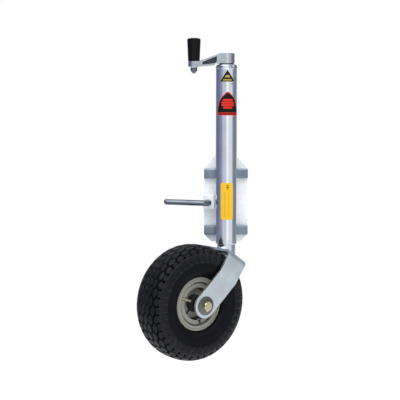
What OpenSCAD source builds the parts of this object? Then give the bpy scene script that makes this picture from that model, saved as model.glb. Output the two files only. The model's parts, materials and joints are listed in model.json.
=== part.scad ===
// Swing-up trailer jack wheel (jockey wheel) with a pneumatic castor wheel.
// The origin is the centre of the four bolt holes, on the back face of the mounting plate.
// +Z runs up along the jack, +Y points into the drawbar, and the tube stands in front at -Y.

/* [Tubes] */
// Outside diameter of the outer tube
tube_od = 48.3; // [48.0:0.1:48.6]
// Wall of the outer tube
tube_wall = 2.9; // [2.6:0.1:3.2]
// Length of the outer tube, without its top housing
tube_len = 395; // [390:1:420]
// How far the lower end of the outer tube is below the pivot
tube_below_pivot = 93; // [90:1:96]
// Wall of the sliding inner tube
inner_wall = 3.2; // [2.6:0.1:3.6]
// Radial play between the two tubes
tube_play = 0.05; // [0.03:0.01:0.09]

/* [Mounting and swing bracket] */
// Width of both bracket plates
plate_w = 100; // [96:1:106]
// Thickness of the mounting plate
mount_t = 8; // [6:0.5:10]
// Height of the mounting plate
mount_h = 160; // [156:1:170]
// Sideways distance between the mounting bolt holes
bolt_dx = 60; // [56:1:64]
// Upright distance between the mounting bolt holes
bolt_dz = 130; // [124:1:134]
// Radius of a mounting bolt hole (M12)
bolt_hole_r = 6.75; // [6.5:0.05:7]
// Thickness of the spacer between the two plates
spacer_t = 10; // [9:0.5:11]
// Thickness of the swing plate
swing_t = 6; // [5:0.5:8]
// Height of each saddle bar that holds the tube
bar_h = 22; // [18:1:24]
// Depth of each saddle bar
bar_d = 16; // [15.5:0.5:18]
// Upright distance from the pivot to the middle of a saddle bar
bar_z = 65; // [60:1:66]
// Radius of the pivot stud
pivot_r = 10; // [9:0.5:11]

/* [Lock pin] */
// Distance from the pivot to the lock pin
lock_radius = 40; // [39:0.5:41]
// Radius of the bent lock pin
pin_r = 6.5; // [6:0.1:6.6]
// How far the lock pin moves
pin_travel = 11; // [10:0.5:11]
// Reach of the pin's handle from the pin's axis
handle_reach = 102; // [80:1:110]
// Upward tilt of the pin's handle
handle_tilt = 2; // [0:1:10]

/* [Crank] */
// Distance from the spindle to the grip
crank_radius = 73; // [70:1:90]
// Radius of the crank's boss
boss_r = 18.5; // [17:0.5:19.5]
// Radius of the lug under the grip
lug_r = 13; // [12.5:0.5:14]
// Length of the grip
grip_len = 51; // [46:1:56]
// Radius of the grip at its top
grip_top_r = 15.5; // [14:0.5:17]
// Radius of the grip at its bottom
grip_low_r = 13.2; // [12:0.5:13.5]

/* [Screw jack] */
// Radius of the spindle's thread
spindle_r = 10; // [10:0.5:10.5]
// How far the inner tube extends
lift_travel = 200; // [150:1:205]

/* [Fork] */
// Direction of the castor, turned about the tube
castor_angle = 217.2; // [200:0.1:230]
// Distance from the tube's axis back to the axle
trail = 100; // [100:0.5:101]
// Distance from the outer tube's end down to the axle
axle_drop = 123; // [122.5:0.5:124]
// Width of the fork's flat bar
bar_w = 54; // [50:1:55]
// Thickness of the fork's flat bar
fork_t = 6; // [5:0.5:6]
// Inside width of the fork
fork_gap = 96; // [96:0.5:98]
// Lean of the upper legs from upright
leg_lean = 35; // [34:0.5:36]
// Height of the crown's upper face over the axle, along the leg
crown_height = 137; // [137:0.5:138]

/* [Wheel] */
// Outside radius of the tyre
tyre_r = 129; // [126:0.5:129]
// Section width of the tyre
tyre_w = 89; // [84:1:89]
// Outside radius of the rim's flanges
rim_r = 59.5; // [59.5:0.5:61]
// Overall width of the rim
rim_w = 60; // [60:1:62]
// Place of the valve slot round the wheel
valve_angle = 22; // [0:1:60]
// Radius of the axle bolt (M12)
axle_r = 6; // [5.9:0.1:6.1]

/* [Hidden] */
$fn = 64;
eps = 0.01;         // overlap of a cut past a face
gap = 0.3;          // space between parts that move past each other
run = 0.05;         // radial play of a running fit

// Colours
zinc = [0.72, 0.76, 0.80];
cast = [0.62, 0.64, 0.66];
steel = [0.55, 0.56, 0.58];
yellow_zinc = [0.80, 0.72, 0.42];
black = [0.08, 0.08, 0.09];
rim_grey = [0.78, 0.77, 0.73];
bronze = [0.72, 0.52, 0.28];

// Layers of the bracket along -Y, from the drawbar's face outwards
spacer_y = -mount_t;
wear_y = spacer_y - spacer_t;
wear_t = 1.7;
swing_y = wear_y - wear_t - gap;
bars_y = swing_y - swing_t;
saddle_depth = 2;
tube_r = tube_od / 2;
tube_y = bars_y - bar_d + saddle_depth - tube_r;
pivot_washer_t = 3;
pivot_washer_y = bars_y - gap;
pivot_nut_h = 8;
pivot_thread_r = 8;
washer_oversize = 0.1;

// Outline of the plates
mount_chamfer = 20;
swing_side = 76;        // half length of the straight sides
swing_top = 112;
swing_top_half = 19;
swing_bottom = 93.5;
swing_bottom_half = 33;

// Lock pin and its housing
bush_r = 12;
lock_play = 0.3;
housing_w = 24;
housing_h = 31;
housing_wall = 3.5;
cavity_r = 10;
cavity_d = 22;
collar_t = 3;
collar_r = 9.6;
spring_wire = 0.6;
spring_r = 8.3;
spring_play = 0.05;
spring_turns = 3.6;
pin_tip_y = swing_y - gap;
circlip_t = 1.2;
circlip_depth = 0.6;
circlip_y = bars_y - gap - pin_travel;
collar_y = circlip_y - circlip_t - gap;
pin_bend_r = 14;
pin_bend_y = bars_y - cavity_d - housing_wall - pin_travel - 2;

// Top of the jack
tube_bottom = -tube_below_pivot;
tube_top = tube_bottom + tube_len;
tube_in_r = tube_r - tube_wall;
cap_h = 8.6;
cap_round = 6;
housing_depth = 40;
bearing_cavity_r = 18;
journal_r = 9;
bush_wall = 3;
race_r = 17;
race_t = 3.4;
ball_r = 2.4;
ball_circle_r = 13.2;
ball_play = 0.15;
shoulder_z = tube_top - 10.3;
upper_race_z = shoulder_z - race_t;
ball_z = upper_race_z - ball_play - ball_r;
lower_race_z = ball_z - ball_r - ball_play - race_t;
spindle_collar_h = 8;
spindle_collar_r = 16;
spindle_collar_z = lower_race_z - spindle_collar_h;
collar_pin_r = 2;
crimp_z = tube_top - 30.4;
crimp_r = 6;
crimp_depth = 0.9;

// Crank
boss_washer_t = 1.8;
boss_z = tube_top + cap_h + boss_washer_t + gap;
boss_h = 22.2;
boss_top = boss_z + boss_h;
boss_roof = 5;
lug_z = boss_z - 6.7;
lug_h = 11.5;
lug_top = lug_z + lug_h;
arm_end_top = lug_top + 1.4;
arm_pocket_half = 10.5;
crank_pin_r = 3;
grip_z = lug_top + 0.7;
grip_bolt_r = 4;
grip_head_r = 6.5;
grip_head_h = 5;
grip_head_z = grip_z + grip_len - 14;
grip_nut_h = 8;
grip_washer_t = 2;
dome_r = 6.2;

// Screw jack
nut_flange_r = 20.9;
nut_flange_h = 6;
nut_body_r = 14;
nut_body_h = 36;
inner_r = tube_in_r - tube_play;
inner_bore_r = inner_r - inner_wall;
inner_top = spindle_collar_z - 28;
head_bush_h = 30;
thread_spare = 20;      // thread left below the nut when the leg is right out
spindle_bottom = inner_top - nut_body_h - lift_travel - thread_spare;

// Fork and axle, in the castor's frame: X back along the trail, Y along the axle
axle_z = tube_bottom - axle_drop;
crown_out_r = 12;       // outside radius of the bends
lip_r = 27;             // rounded lip of the crown under the tube
lip_x = -28;
knee_height = 82;       // height of the knee over the axle, along the upper leg
knee_shift = -19.4;     // middle of the upper leg, forward of the foot of the axle's perpendicular
leg_out = fork_gap / 2 + fork_t;
axle_washer_t = 3;
axle_washer_r = 21;
axle_head_h = 7.5;
axle_head_af = 19;
axle_nut_h = 12;

// Wheel
flange_t = 5;
seat_r = 51;
rim_half = rim_w / 2;
band_set_back = 5;
band_in_r = 36;
band_out_r = 45.5;
band_groove_w = 3;
rim_wall = 4;
web_w = 9;
hub_r = 19.5;
hub_half = 40;
bearing_r = 16;
bearing_w = 10;
hub_bore_r = 11;
slot_w = 7;
valve_root_r = 59;      // the valve's foot in the tyre
valve_root_w = 18;
valve_lean = 18.4;      // its lean out to the near side
valve_len = 32.5;
valve_r = 2.6;
valve_foot_r = 5.5;
screw_r = 3;
screw_circle_r = 40.8;
screw_boss_r = 4.6;
cap_r = 21.5;
cap_depth = 6;
sleeve_r = 9;
spacer_r = 9.5;
hub_ball_r = 2.2;
hub_ball_circle_r = 10.8;

// ---------- helpers ----------

// A cylinder along -Y: its face is at y, and it reaches h towards the front
module peg(r, y, h, x = 0, z = 0) {
    translate([x, y, z]) rotate([90, 0, 0]) cylinder(r = r, h = h);
}

// A ring along -Y
module ring_y(r_out, r_in, y, h, x = 0, z = 0) {
    difference() {
        peg(r_out, y, h, x, z);
        peg(r_in, y + 1, h + 2, x, z);
    }
}

// A ring round the jack's axis
module ring_z(r_out, r_in, z, h) {
    translate([0, tube_y, z]) difference() {
        cylinder(r = r_out, h = h);
        translate([0, 0, -1]) cylinder(r = r_in, h = h + 2);
    }
}

// A hexagon nut's body, from the distance across its flats
module hex(flats, h) {
    cylinder(r = flats / sqrt(3), h = h, $fn = 6);
}

// Places children in the castor's frame
module castor() {
    translate([0, tube_y, 0]) rotate([0, 0, castor_angle]) children();
}

// Places children with their Z axis along the axle, and Z = 0 on the wheel's mid plane
module on_axle() {
    castor() translate([trail, 0, axle_z]) rotate([-90, 0, 0]) children();
}

// Repeats children on both sides of the wheel's mid plane
module both_sides() {
    for (side = [0, 1]) mirror([0, 0, side]) children();
}

// A ring round the axle, from w0 to w1 along it
module axle_ring(r_out, r_in, w0, w1) {
    translate([0, 0, w0]) difference() {
        cylinder(r = r_out, h = w1 - w0);
        translate([0, 0, -1]) cylinder(r = r_in, h = w1 - w0 + 2);
    }
}

// A helical wire round the Z axis, as one closed mesh
module coil(radius, wire, length, turns, sides = 8, steps = 24) {
    n = floor(turns * steps);
    points = [for (i = [0:n], k = [0:sides - 1])
        let (a = 360 * turns * i / n, b = 360 * k / sides, r = radius + wire * cos(b))
        [r * cos(a), r * sin(a), length * i / n + wire * sin(b)]];
    walls = [for (i = [0:n - 1], k = [0:sides - 1])
        let (a = i * sides + k, b = i * sides + (k + 1) % sides)
        [a, b, b + sides, a + sides]];
    ends = [[for (k = [0:sides - 1]) sides - 1 - k], [for (k = [0:sides - 1]) n * sides + k]];
    polyhedron(points, concat(walls, ends), convexity = 6);
}

// ---------- mounting bracket ----------

module mount_outline() {
    x = plate_w / 2;
    z = mount_h / 2;
    c = mount_chamfer;
    polygon([[x, z - c], [x - c, z], [c - x, z], [-x, z - c], [-x, c - z], [c - x, -z], [x - c, -z], [x, c - z]]);
}

module mount_plate() {
    color(zinc) difference() {
        rotate([90, 0, 0]) linear_extrude(mount_t) mount_outline();
        peg(pivot_r, 1, mount_t + 2);
        for (x = [-1, 1], z = [-1, 1]) peg(bolt_hole_r, 1, mount_t + 2, x * bolt_dx / 2, z * bolt_dz / 2);
    }
}

module lock_bushes() {
    color(zinc) for (a = [0:90:270])
        ring_y(bush_r, pin_r + lock_play, spacer_y, spacer_t, lock_radius * cos(a), lock_radius * sin(a));
}

module pivot_spacer() {
    color(zinc) ring_y(26, pivot_r, spacer_y, spacer_t);
}

module pivot_stud() {
    color(steel) union() {
        peg(pivot_r, 0, -pivot_washer_y);
        peg(pivot_thread_r, -eps, -pivot_washer_y + pivot_washer_t + pivot_nut_h + 1.5);
    }
}

module pivot_wear_washer() {
    color(black) ring_y(26, pivot_r + run, wear_y, wear_t);
}

module pivot_washer() {
    color(zinc) ring_y(17, pivot_thread_r + washer_oversize, pivot_washer_y, pivot_washer_t);
}

module pivot_nut() {
    y = pivot_washer_y - pivot_washer_t;
    color(zinc) difference() {
        translate([0, y, 0]) rotate([90, 0, 0]) hex(24, pivot_nut_h);
        peg(pivot_thread_r, y + 1, pivot_nut_h + 2);
    }
}

// ---------- swing bracket ----------

module swing_outline() {
    x = plate_w / 2;
    polygon([
        [x, -swing_side], [x, swing_side], [swing_top_half, swing_top], [-swing_top_half, swing_top],
        [-x, swing_side], [-x, -swing_side], [-swing_bottom_half, -swing_bottom], [swing_bottom_half, -swing_bottom]
    ]);
}

module swing_plate() {
    color(zinc) difference() {
        translate([0, swing_y, 0]) rotate([90, 0, 0]) linear_extrude(swing_t) swing_outline();
        peg(pivot_r + run, swing_y + 1, swing_t + 2);
        peg(pin_r + run, swing_y + 1, swing_t + 2, -lock_radius);
    }
}

module saddle_bar(z) {
    color(zinc) difference() {
        translate([-plate_w / 2, bars_y - bar_d, z - bar_h / 2]) cube([plate_w, bar_d, bar_h]);
        translate([0, tube_y, z - bar_h]) cylinder(r = tube_r, h = 2 * bar_h);
    }
}

module upper_bar() {
    saddle_bar(bar_z);
}

module lower_bar() {
    saddle_bar(-bar_z);
}

module outer_tube() {
    color(zinc) difference() {
        ring_z(tube_r, tube_in_r, tube_bottom, tube_len);
        for (a = [60, 180, 300]) translate([0, tube_y, crimp_z]) rotate([0, 0, a])
            translate([tube_r + crimp_r - crimp_depth, 0, 0]) sphere(r = crimp_r);
    }
}

// ---------- top of the jack ----------

module top_housing() {
    color(zinc) translate([0, tube_y, 0]) rotate_extrude() difference() {
        union() {
            translate([0, tube_top]) square([tube_r, cap_h - cap_round]);
            translate([0, tube_top]) square([tube_r - cap_round, cap_h]);
            translate([tube_r - cap_round, tube_top + cap_h - cap_round]) circle(r = cap_round);
            translate([0, tube_top - housing_depth]) square([tube_in_r, housing_depth + 1]);
        }
        translate([0, tube_top - housing_depth - 1]) square([bearing_cavity_r, shoulder_z - tube_top + housing_depth + 1]);
        square([journal_r + bush_wall, tube_top + cap_h + 1]);
        translate([-100, 0]) square([100, tube_top * 2]);
        translate([tube_in_r, tube_top - cap_round - 1]) square([10, cap_round + 1]);
        translate([tube_in_r - 0.8, crimp_z - 3]) square([2, 6]);
    }
}

module top_bush() {
    color(bronze) ring_z(journal_r + bush_wall, journal_r + run, shoulder_z, tube_top + cap_h - shoulder_z);
}

module thrust_race_upper() {
    color(steel) ring_z(race_r, journal_r + 1, upper_race_z, race_t);
}

module thrust_balls() {
    color(steel) translate([0, tube_y, ball_z]) for (a = [0:30:330]) rotate([0, 0, a])
        translate([ball_circle_r, 0, 0]) sphere(r = ball_r, $fn = 32);
}

module thrust_race_lower() {
    color(steel) ring_z(race_r, journal_r, lower_race_z, race_t);
}

module boss_washer() {
    color(black) ring_z(16, journal_r + 0.5, tube_top + cap_h, boss_washer_t);
}

// ---------- lock pin ----------

module plunger_housing() {
    d = cavity_d + housing_wall;
    color(zinc) difference() {
        translate([-lock_radius - housing_w / 2, bars_y - d, -housing_h / 2]) cube([housing_w, d, housing_h]);
        peg(cavity_r, bars_y + 1, cavity_d + 1, -lock_radius);
        peg(pin_r + run, bars_y, d + 1, -lock_radius);
    }
}

module plunger_spring() {
    length = bars_y - cavity_d - collar_y + collar_t;
    start_y = collar_y - collar_t - spring_wire - spring_play;
    color(steel) translate([-lock_radius, start_y, 0]) rotate([90, 0, 0])
        coil(spring_r, spring_wire, -length - 2 * (spring_wire + spring_play), spring_turns);
}

module plunger_collar() {
    color(steel) ring_y(collar_r, pin_r + run, collar_y, collar_t, -lock_radius);
}

module pin_circlip() {
    color(steel) ring_y(pin_r + 2, pin_r - circlip_depth, circlip_y, circlip_t, -lock_radius);
}

module lock_pin() {
    arm = handle_reach - pin_bend_r - pin_r;
    color(zinc) difference() {
        translate([-lock_radius, 0, 0]) rotate([0, handle_tilt, 0]) union() {
            peg(pin_r, pin_tip_y, pin_tip_y - pin_bend_y);
            translate([-pin_bend_r, pin_bend_y, 0]) rotate([0, 0, -90])
                rotate_extrude(angle = 90) translate([pin_bend_r, 0]) circle(r = pin_r);
            translate([-pin_bend_r, pin_bend_y - pin_bend_r, 0]) rotate([0, -90, 0]) cylinder(r = pin_r, h = arm);
            translate([-pin_bend_r - arm, pin_bend_y - pin_bend_r, 0]) sphere(r = pin_r);
        }
        ring_y(pin_r + 2, pin_r - circlip_depth, circlip_y, circlip_t, -lock_radius);
    }
}

// ---------- labels ----------

// A thin skin on the front of the outer tube, cut to the outline of its children
module label(turn) {
    skin = 0.2;
    translate([0, tube_y, 0]) rotate([0, 0, turn]) intersection() {
        difference() {
            translate([0, 0, tube_bottom]) cylinder(r = tube_r + skin, h = tube_len);
            translate([0, 0, tube_bottom - 1]) cylinder(r = tube_r, h = tube_len + 2);
        }
        rotate([90, 0, 0]) linear_extrude(tube_r * 2) children();
    }
}

module round_box(w, h, r) {
    for (x = [r - w / 2, w / 2 - r], z = [r, h - r]) translate([x, z]) circle(r = r);
    translate([-w / 2, r]) square([w, h - 2 * r]);
    translate([r - w / 2, 0]) square([w - 2 * r, h]);
}

module hazard_label() {
    color([0.85, 0.70, 0.10]) label(4) polygon([[-14.8, 271.4], [14.8, 271.4], [0, 298]]);
}

module panel_label() {
    color([0.70, 0.10, 0.08]) label(6) translate([0, 197]) round_box(43, 52, 5);
}

module care_label() {
    color([0.95, 0.75, 0.15]) label(2) translate([0, -36.4]) round_box(28, 83, 5);
}

// ---------- crank and spindle ----------

module spindle() {
    color(steel) translate([0, tube_y, 0]) difference() {
        union() {
            translate([0, 0, spindle_bottom]) cylinder(r = spindle_r, h = spindle_collar_z - spindle_bottom);
            translate([0, 0, spindle_collar_z - 1]) cylinder(r = journal_r, h = boss_top - boss_roof - spindle_collar_z + 1);
        }
        translate([0, 0, spindle_collar_z + spindle_collar_h / 2]) rotate([90, 0, 0])
            cylinder(r = collar_pin_r, h = 3 * journal_r, center = true);
        translate([-boss_r + 2.5, 0, boss_z + boss_h / 2]) rotate([0, 90, 0]) cylinder(r = crank_pin_r, h = 2 * boss_r);
    }
}

module spindle_collar() {
    color(steel) difference() {
        ring_z(spindle_collar_r, journal_r, spindle_collar_z, spindle_collar_h);
        translate([0, tube_y, spindle_collar_z + spindle_collar_h / 2]) rotate([90, 0, 0])
            cylinder(r = collar_pin_r, h = 3 * spindle_collar_r, center = true);
    }
}

module collar_pin() {
    color(steel) translate([0, tube_y, spindle_collar_z + spindle_collar_h / 2]) rotate([90, 0, 0])
        cylinder(r = collar_pin_r, h = 2 * spindle_collar_r - 2, center = true);
}

// Seen from above: the boss and the lug, joined by their two common tangents
module crank_plan() {
    lean = asin((boss_r - lug_r) / crank_radius);
    circle(r = boss_r);
    translate([-crank_radius, 0]) circle(r = lug_r);
    polygon([
        for (side = [-1, 1]) [-boss_r * sin(lean), side * boss_r * cos(lean)],
        for (side = [1, -1]) [-crank_radius - lug_r * sin(lean), side * lug_r * cos(lean)]
    ]);
}

// Seen from the front: the sloping arm between the lug and the boss
module crank_side() {
    lug_x = lug_r - crank_radius;
    polygon([
        [-crank_radius - lug_r - 1, lug_z], [lug_x, lug_z], [-31, boss_z - 4.2], [-tube_r - 2.5, boss_z - 3.2],
        [-tube_r - 1.5, boss_z],
        [boss_r + 1, boss_z], [boss_r + 1, boss_top], [-boss_r + 3, boss_top], [-boss_r - 2, boss_top - 2.6],
        [lug_x + 1.5, arm_end_top], [lug_x, lug_top], [-crank_radius - lug_r - 1, lug_top]
    ]);
}

module crank_pocket() {
    polygon([
        [lug_r - crank_radius + 6, lug_z + 3.4], [-31, boss_z - 0.6], [-24, boss_z + 1],
        [-22, boss_z + 4], [-22, boss_top - 7], [lug_r - crank_radius + 6, arm_end_top - 3.2]
    ]);
}

module crank_arm() {
    color(cast) translate([0, tube_y, 0]) difference() {
        intersection() {
            translate([0, 0, lug_z]) linear_extrude(boss_top - lug_z) crank_plan();
            rotate([90, 0, 0]) linear_extrude(3 * boss_r, center = true) crank_side();
        }
        for (side = [0, 1]) mirror([0, side, 0]) translate([0, -arm_pocket_half, 0])
            rotate([90, 0, 0]) linear_extrude(boss_r) crank_pocket();
        translate([0, 0, boss_z - 1]) cylinder(r = journal_r, h = boss_h - boss_roof + 1);
        translate([-crank_radius, 0, lug_z - 1]) cylinder(r = grip_bolt_r + run, h = lug_h + 2);
        translate([-boss_r + 2.5, 0, boss_z + boss_h / 2]) rotate([0, 90, 0]) cylinder(r = crank_pin_r, h = 2 * boss_r);
    }
}

module crank_pin() {
    color(steel) translate([-boss_r + 2.5, tube_y, boss_z + boss_h / 2]) rotate([0, 90, 0])
        cylinder(r = crank_pin_r, h = 2 * boss_r - 3);
}

// ---------- grip ----------

module grip_bolt() {
    low = lug_z - grip_washer_t - grip_nut_h;
    color(zinc) translate([-crank_radius, tube_y, 0]) union() {
        translate([0, 0, low]) cylinder(r = grip_bolt_r, h = grip_head_z - low + 1);
        translate([0, 0, grip_head_z]) cylinder(r = grip_head_r, h = grip_head_h);
    }
}

module grip_washer() {
    color(zinc) translate([-crank_radius, tube_y, lug_z - grip_washer_t]) difference() {
        cylinder(r = 10, h = grip_washer_t);
        translate([0, 0, -1]) cylinder(r = grip_bolt_r + washer_oversize, h = grip_washer_t + 2);
    }
}

module grip_nut() {
    z = lug_z - grip_washer_t - grip_nut_h;
    color(zinc) translate([-crank_radius, tube_y, z]) difference() {
        union() {
            hex(13, grip_nut_h);
            intersection() {
                translate([0, 0, 1]) sphere(r = dome_r);
                translate([-dome_r, -dome_r, -dome_r]) cube([2 * dome_r, 2 * dome_r, dome_r + 1]);
            }
        }
        cylinder(r = grip_bolt_r, h = grip_nut_h + 1);
    }
}

module crank_grip() {
    edge = 2;
    color(black) translate([-crank_radius, tube_y, grip_z]) rotate_extrude() difference() {
        union() {
            polygon([[0, 0], [grip_low_r - 1, 0], [grip_low_r, 1], [grip_top_r, grip_len - edge],
                     [grip_top_r - edge, grip_len], [0, grip_len]]);
            translate([grip_top_r - edge, grip_len - edge]) circle(r = edge);
        }
        translate([-10, -1]) square([10 + grip_bolt_r + run, grip_len + 2]);
        translate([-10, grip_head_z - grip_z - gap]) square([10 + grip_head_r + gap, grip_len]);
        translate([-10, grip_len - 4]) square([18, 10]);
        translate([-20, -1]) square([20, grip_len + 2]);
    }
}

module grip_cap() {
    color(black) translate([-crank_radius, tube_y, grip_z + grip_len - 4]) cylinder(r = 8, h = 3.2);
}

// ---------- screw jack ----------

module lift_nut() {
    z = inner_top + gap;
    color(bronze) translate([0, tube_y, 0]) difference() {
        union() {
            translate([0, 0, z]) cylinder(r = nut_flange_r, h = nut_flange_h);
            translate([0, 0, z - nut_body_h]) cylinder(r = nut_body_r, h = nut_body_h + 1);
        }
        translate([0, 0, z - nut_body_h - 1]) cylinder(r = spindle_r + run, h = nut_body_h + nut_flange_h + 2);
        translate([0, 0, z - head_bush_h - 2 * gap - circlip_t]) difference() {
            cylinder(r = nut_body_r + 1, h = circlip_t);
            cylinder(r = nut_body_r - circlip_depth, h = circlip_t);
        }
    }
}

module nut_circlip() {
    color(steel) ring_z(nut_body_r + 2, nut_body_r - circlip_depth, inner_top - head_bush_h - gap - circlip_t, circlip_t);
}

module head_bush() {
    color(steel) ring_z(inner_bore_r, nut_body_r + run, inner_top - head_bush_h, head_bush_h);
}

// ---------- fork ----------

// Places children on the crown's upper face: Z points up the legs, X across the crown, Y along the axle
module on_crown() {
    castor() translate([trail, 0, axle_z]) rotate([0, -leg_lean, 0]) translate([0, 0, crown_height]) children();
}

module inner_tube() {
    color(zinc) difference() {
        ring_z(inner_r, inner_bore_r, axle_z, inner_top - axle_z);
        on_crown() translate([-200, -100, -400]) cube([400, 200, 400]);
    }
}

// The bent bar seen along the crown: a square-cornered arch with round bends
module arch(half, r, low) {
    translate([-half, low]) square([2 * half, -low - r]);
    translate([r - half, low]) square([2 * (half - r), -low]);
    for (side = [-1, 1]) translate([side * (half - r), -r]) circle(r = r);
}

// Where two lines cross: each goes through a point in a direction given by its angle
function crossing(p, a, q, b) =
    let (d = q - p, t = (d[0] * sin(b) - d[1] * cos(b)) / sin(b - a))
    [p[0] + t * cos(a), p[1] + t * sin(a)];

// A leg seen along the axle, with the axle at the origin: down from the crown, then bent back at the knee
module leg_outline() {
    up = 90 + leg_lean;
    knee = knee_height * [cos(up), sin(up)] + knee_shift * [sin(up), -cos(up)];
    low = atan2(knee[1], knee[0]);
    half = bar_w / 2;
    top = (crown_height + 1 - knee_height) * [cos(up), sin(up)];
    across = [sin(up), -cos(up)];
    low_across = [sin(low), -cos(low)];
    circle(r = half);
    polygon([
        half * low_across, crossing(half * low_across, low, knee + half * across, up),
        knee + top + half * across, knee + top - half * across,
        crossing(-half * low_across, low, knee - half * across, up), -half * low_across
    ]);
}

module fork() {
    reach = 2 * crown_height;
    color(zinc) difference() {
        union() {
            intersection() {
                on_crown() translate([reach, 0, 0]) rotate([90, 0, -90]) linear_extrude(2 * reach) difference() {
                    arch(leg_out, crown_out_r, -reach);
                    translate([0, -fork_t]) arch(fork_gap / 2, crown_out_r - fork_t, -reach);
                }
                castor() translate([trail, 0, axle_z]) rotate([90, 0, 0])
                    linear_extrude(2 * reach, center = true) leg_outline();
            }
            on_crown() translate([lip_x, 0, 1 - fork_t]) cylinder(r = lip_r, h = fork_t - 2);
        }
        on_axle() cylinder(r = axle_r + washer_oversize, h = 4 * leg_out, center = true);
    }
}

// ---------- axle ----------

module axle_bolt() {
    seat = leg_out + axle_washer_t;
    color(yellow_zinc) on_axle() union() {
        translate([0, 0, seat]) rotate([0, 0, 15]) hex(axle_head_af, axle_head_h);
        translate([0, 0, -seat - axle_nut_h - 3]) cylinder(r = axle_r, h = 2 * seat + axle_nut_h + 4);
    }
}

module axle_washers() {
    color(zinc) on_axle() both_sides() axle_ring(axle_washer_r, axle_r + washer_oversize, leg_out, leg_out + axle_washer_t);
}

module axle_nut() {
    seat = leg_out + axle_washer_t;
    color(yellow_zinc) on_axle() mirror([0, 0, 1]) translate([0, 0, seat]) difference() {
        union() {
            hex(axle_head_af, 0.7 * axle_nut_h);
            cylinder(r = 0.46 * axle_head_af, h = axle_nut_h);
        }
        translate([0, 0, -1]) cylinder(r = axle_r, h = axle_nut_h + 2);
    }
}

module axle_sleeve() {
    half = hub_half - bearing_w;
    color(steel) on_axle() axle_ring(sleeve_r, axle_r + run, -half, half);
}

module axle_spacers() {
    color(zinc) on_axle() both_sides() axle_ring(spacer_r, axle_r + run, hub_half, fork_gap / 2);
}

module bearing_inner_rings() {
    color(steel) on_axle() both_sides()
        axle_ring(hub_ball_circle_r - hub_ball_r - 0.1, axle_r + run, hub_half - bearing_w, hub_half);
}

// ---------- wheel ----------

// Half of the rim: radius to the right, distance from the mid plane upwards
module rim_section() {
    face = rim_half - band_set_back;
    back = face - rim_wall;
    groove = face - 8;
    groove_r = band_out_r + band_groove_w;
    seat_in_r = seat_r - rim_wall;
    polygon([
        [seat_r, 0], [seat_r, rim_half - 8], [seat_r + 3, rim_half - flange_t], [rim_r - 1.5, rim_half - flange_t],
        [rim_r, rim_half - 3.5], [rim_r, rim_half - 1], [rim_r - 1, rim_half], [rim_r - 3.6, rim_half],
        [rim_r - 4.2, rim_half - 1.8], [rim_r - 5.2, rim_half - 1.8], [rim_r - 5.8, rim_half - 1],
        [groove_r + 1, rim_half - 1], [groove_r, rim_half - 2], [groove_r, groove], [band_out_r, groove],
        [band_out_r, face - 0.6], [band_out_r - 0.8, face], [band_in_r, face - 0.5], [band_in_r - 3, web_w],
        [hub_r, web_w], [hub_r, hub_half], [bearing_r, hub_half], [bearing_r, hub_half - bearing_w],
        [hub_bore_r, hub_half - bearing_w], [hub_bore_r, 0], [band_in_r + 1, 0], [band_in_r + 1, web_w - rim_wall],
        [band_in_r + rim_wall, back], [band_out_r - 2.4, back], [band_out_r - 1.8, groove - rim_wall],
        [seat_in_r - 1, groove - rim_wall], [seat_in_r, groove - rim_wall - 1], [seat_in_r, 0]
    ]);
}

module rim_half_shell() {
    face = rim_half - band_set_back;
    difference() {
        union() {
            rotate_extrude() rim_section();
            for (i = [0:2]) rotate([0, 0, 60 + 120 * i]) translate([screw_circle_r, 0, 0])
                cylinder(r = screw_boss_r, h = face - 1);
        }
        for (i = [0:2]) rotate([0, 0, 120 * i])
            translate([band_in_r - 5, -slot_w / 2, i == 0 ? web_w + 5 : face - 6])
                cube([band_out_r - band_in_r + 6, slot_w, rim_half]);
    }
}

// Turns children so that +X points at the valve slot, seen from the near side
module at_valve() {
    rotate([0, 0, -valve_angle]) children();
}

module rim_near_half() {
    color(rim_grey) on_axle() at_valve() difference() {
        rim_half_shell();
        for (i = [0:2]) rotate([0, 0, 60 + 120 * i]) translate([screw_circle_r, 0, -1])
            cylinder(r = screw_r, h = 17);
        along_valve(0) cylinder(r = valve_r + 0.3, h = valve_len);
    }
}

module rim_far_half() {
    color(rim_grey) on_axle() at_valve() difference() {
        mirror([0, 0, 1]) rim_half_shell();
        for (i = [0:2]) rotate([0, 0, 60 + 120 * i]) translate([screw_circle_r, 0, -rim_half])
            cylinder(r = screw_r + 0.2, h = rim_half + 1);
    }
}

module rim_screws() {
    face = rim_half - band_set_back;
    color(steel) on_axle() at_valve() for (i = [0:2]) rotate([0, 0, 60 + 120 * i])
        translate([screw_circle_r, 0, 0]) union() {
            translate([0, 0, -face - 0.5]) cylinder(r = screw_r, h = face + 14);
            translate([0, 0, -face - 4]) hex(10, 4);
        }
}

module bearing_outer_rings() {
    color(steel) on_axle() both_sides()
        axle_ring(bearing_r, hub_ball_circle_r + hub_ball_r + 0.1, hub_half - bearing_w, hub_half);
}

module bearing_balls() {
    color(steel) on_axle() both_sides() for (i = [0:7]) rotate([0, 0, 45 * i])
        translate([hub_ball_circle_r, 0, hub_half - bearing_w / 2]) sphere(r = hub_ball_r, $fn = 32);
}

module hub_caps() {
    low = hub_half - cap_depth;
    color(black) on_axle() both_sides() rotate_extrude()
        polygon([[hub_r, low], [cap_r, low], [cap_r, hub_half + 2], [cap_r - 2, hub_half + 4],
                 [spacer_r + 0.8, hub_half + 4], [spacer_r + 0.8, hub_half + 1.5], [hub_r, hub_half + 1.5]]);
}

// A rounded box outline about (r, 0): a superellipse with half sizes a and b
function bulge(r, a, b, power, n = 48) = [for (i = [0:n - 1])
    let (t = 360 * i / n, c = cos(t), s = sin(t))
    [r + b * sign(c) * pow(abs(c), 2 / power), a * sign(s) * pow(abs(s), 2 / power)]];

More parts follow.
